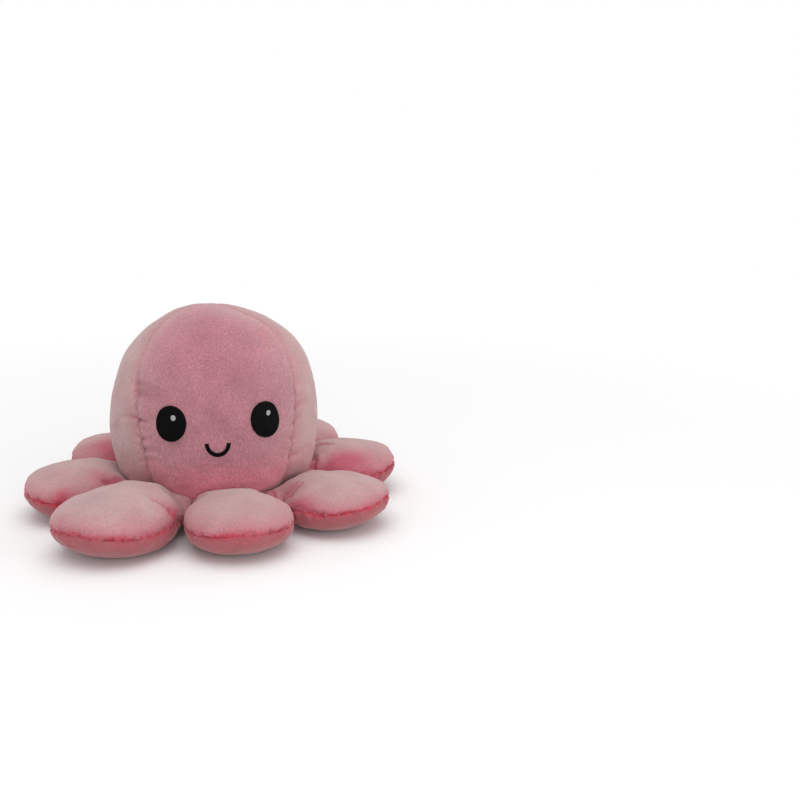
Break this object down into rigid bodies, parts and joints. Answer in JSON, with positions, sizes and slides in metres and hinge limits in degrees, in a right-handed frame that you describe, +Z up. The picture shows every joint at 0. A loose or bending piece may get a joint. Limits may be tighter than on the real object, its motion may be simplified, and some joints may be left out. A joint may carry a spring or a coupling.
{
  "type": "plush octopus",
  "caption": "Soft stuffed toy octopus, light pink, that turns inside out: a round sewn head with an embroidered face, on a ring of plump tentacles that bend at their stitched roots.",
  "frame": {"origin": "on the table, under the middle of the toy's box, which is the head's upright axis to within a millimetre", "axes": "+Z up from the table, the face looks along -Y, +X is on the right of someone who looks at the face"},
  "size_m": [0.1995, 0.2003, 0.1094],
  "materials": {
    "pale_plush": "short light pink plush pile",
    "face_plush": "short light pink plush pile that lies the other way and looks a little darker",
    "deep_plush": "short deep pink plush pile",
    "fibre_fill": "white fluffy fibre stuffing",
    "black_thread": "black satin stitch embroidery",
    "white_thread": "white satin stitch embroidery"
  },
  "bodies": {
    "head": {"frown": "black_thread", "head_back_panel": "pale_plush", "head_filling": "fibre_fill", "head_front_panel": "face_plush", "head_left_panel": "pale_plush", "head_right_panel": "pale_plush", "inner_left_eye": "black_thread", "inner_left_eye_glint": "white_thread", "inner_right_eye": "black_thread", "inner_right_eye_glint": "white_thread", "left_eye": "black_thread", "left_eye_glint": "white_thread", "pocket_back_panel": "deep_plush", "pocket_front_panel": "deep_plush", "pocket_left_panel": "deep_plush", "pocket_right_panel": "deep_plush", "right_eye": "black_thread", "right_eye_glint": "white_thread", "smile": "black_thread", "waist_bottom_cloth": "deep_plush", "waist_top_cloth": "pale_plush"},
    "tentacle_1": {"tentacle_1_top": "pale_plush", "tentacle_1_bottom": "deep_plush", "tentacle_1_filling": "fibre_fill"},
    "tentacle_2": {"tentacle_2_top": "pale_plush", "tentacle_2_bottom": "deep_plush", "tentacle_2_filling": "fibre_fill"},
    "tentacle_3": {"tentacle_3_top": "pale_plush", "tentacle_3_bottom": "deep_plush", "tentacle_3_filling": "fibre_fill"},
    "tentacle_4": {"tentacle_4_top": "pale_plush", "tentacle_4_bottom": "deep_plush", "tentacle_4_filling": "fibre_fill"},
    "tentacle_5": {"tentacle_5_top": "pale_plush", "tentacle_5_bottom": "deep_plush", "tentacle_5_filling": "fibre_fill"},
    "tentacle_6": {"tentacle_6_top": "pale_plush", "tentacle_6_bottom": "deep_plush", "tentacle_6_filling": "fibre_fill"},
    "tentacle_7": {"tentacle_7_top": "pale_plush", "tentacle_7_bottom": "deep_plush", "tentacle_7_filling": "fibre_fill"},
    "tentacle_8": {"tentacle_8_top": "pale_plush", "tentacle_8_bottom": "deep_plush", "tentacle_8_filling": "fibre_fill"}
  },
  "joints": [
    {"name": "tentacle_1_bend", "type": "hinge", "parent": "head", "child": "tentacle_1", "pos_m": [0.00397, -0.04543, 0.0074], "axis": [-0.9962, -0.0872, 0], "range_deg": [-40, 20], "stiffness_Nm_per_rad": 0.01},
    {"name": "tentacle_2_bend", "type": "hinge", "parent": "head", "child": "tentacle_2", "pos_m": [0.03493, -0.02931, 0.0074], "axis": [-0.6428, -0.766, 0], "range_deg": [-40, 20], "stiffness_Nm_per_rad": 0.01},
    {"name": "tentacle_3_bend", "type": "hinge", "parent": "head", "child": "tentacle_3", "pos_m": [0.04543, 0.00397, 0.0074], "axis": [0.0872, -0.9962, 0], "range_deg": [-40, 20], "stiffness_Nm_per_rad": 0.01},
    {"name": "tentacle_4_bend", "type": "hinge", "parent": "head", "child": "tentacle_4", "pos_m": [0.02931, 0.03493, 0.0074], "axis": [0.766, -0.6428, 0], "range_deg": [-40, 20], "stiffness_Nm_per_rad": 0.01},
    {"name": "tentacle_5_bend", "type": "hinge", "parent": "head", "child": "tentacle_5", "pos_m": [-0.00397, 0.04543, 0.0074], "axis": [0.9962, 0.0872, 0], "range_deg": [-40, 20], "stiffness_Nm_per_rad": 0.01},
    {"name": "tentacle_6_bend", "type": "hinge", "parent": "head", "child": "tentacle_6", "pos_m": [-0.03493, 0.02931, 0.0074], "axis": [0.6428, 0.766, 0], "range_deg": [-40, 20], "stiffness_Nm_per_rad": 0.01},
    {"name": "tentacle_7_bend", "type": "hinge", "parent": "head", "child": "tentacle_7", "pos_m": [-0.04543, -0.00397, 0.0074], "axis": [-0.0872, 0.9962, 0], "range_deg": [-40, 20], "stiffness_Nm_per_rad": 0.01},
    {"name": "tentacle_8_bend", "type": "hinge", "parent": "head", "child": "tentacle_8", "pos_m": [-0.02931, -0.03493, 0.0074], "axis": [-0.766, 0.6428, 0], "range_deg": [-40, 20], "stiffness_Nm_per_rad": 0.01}
  ]
}
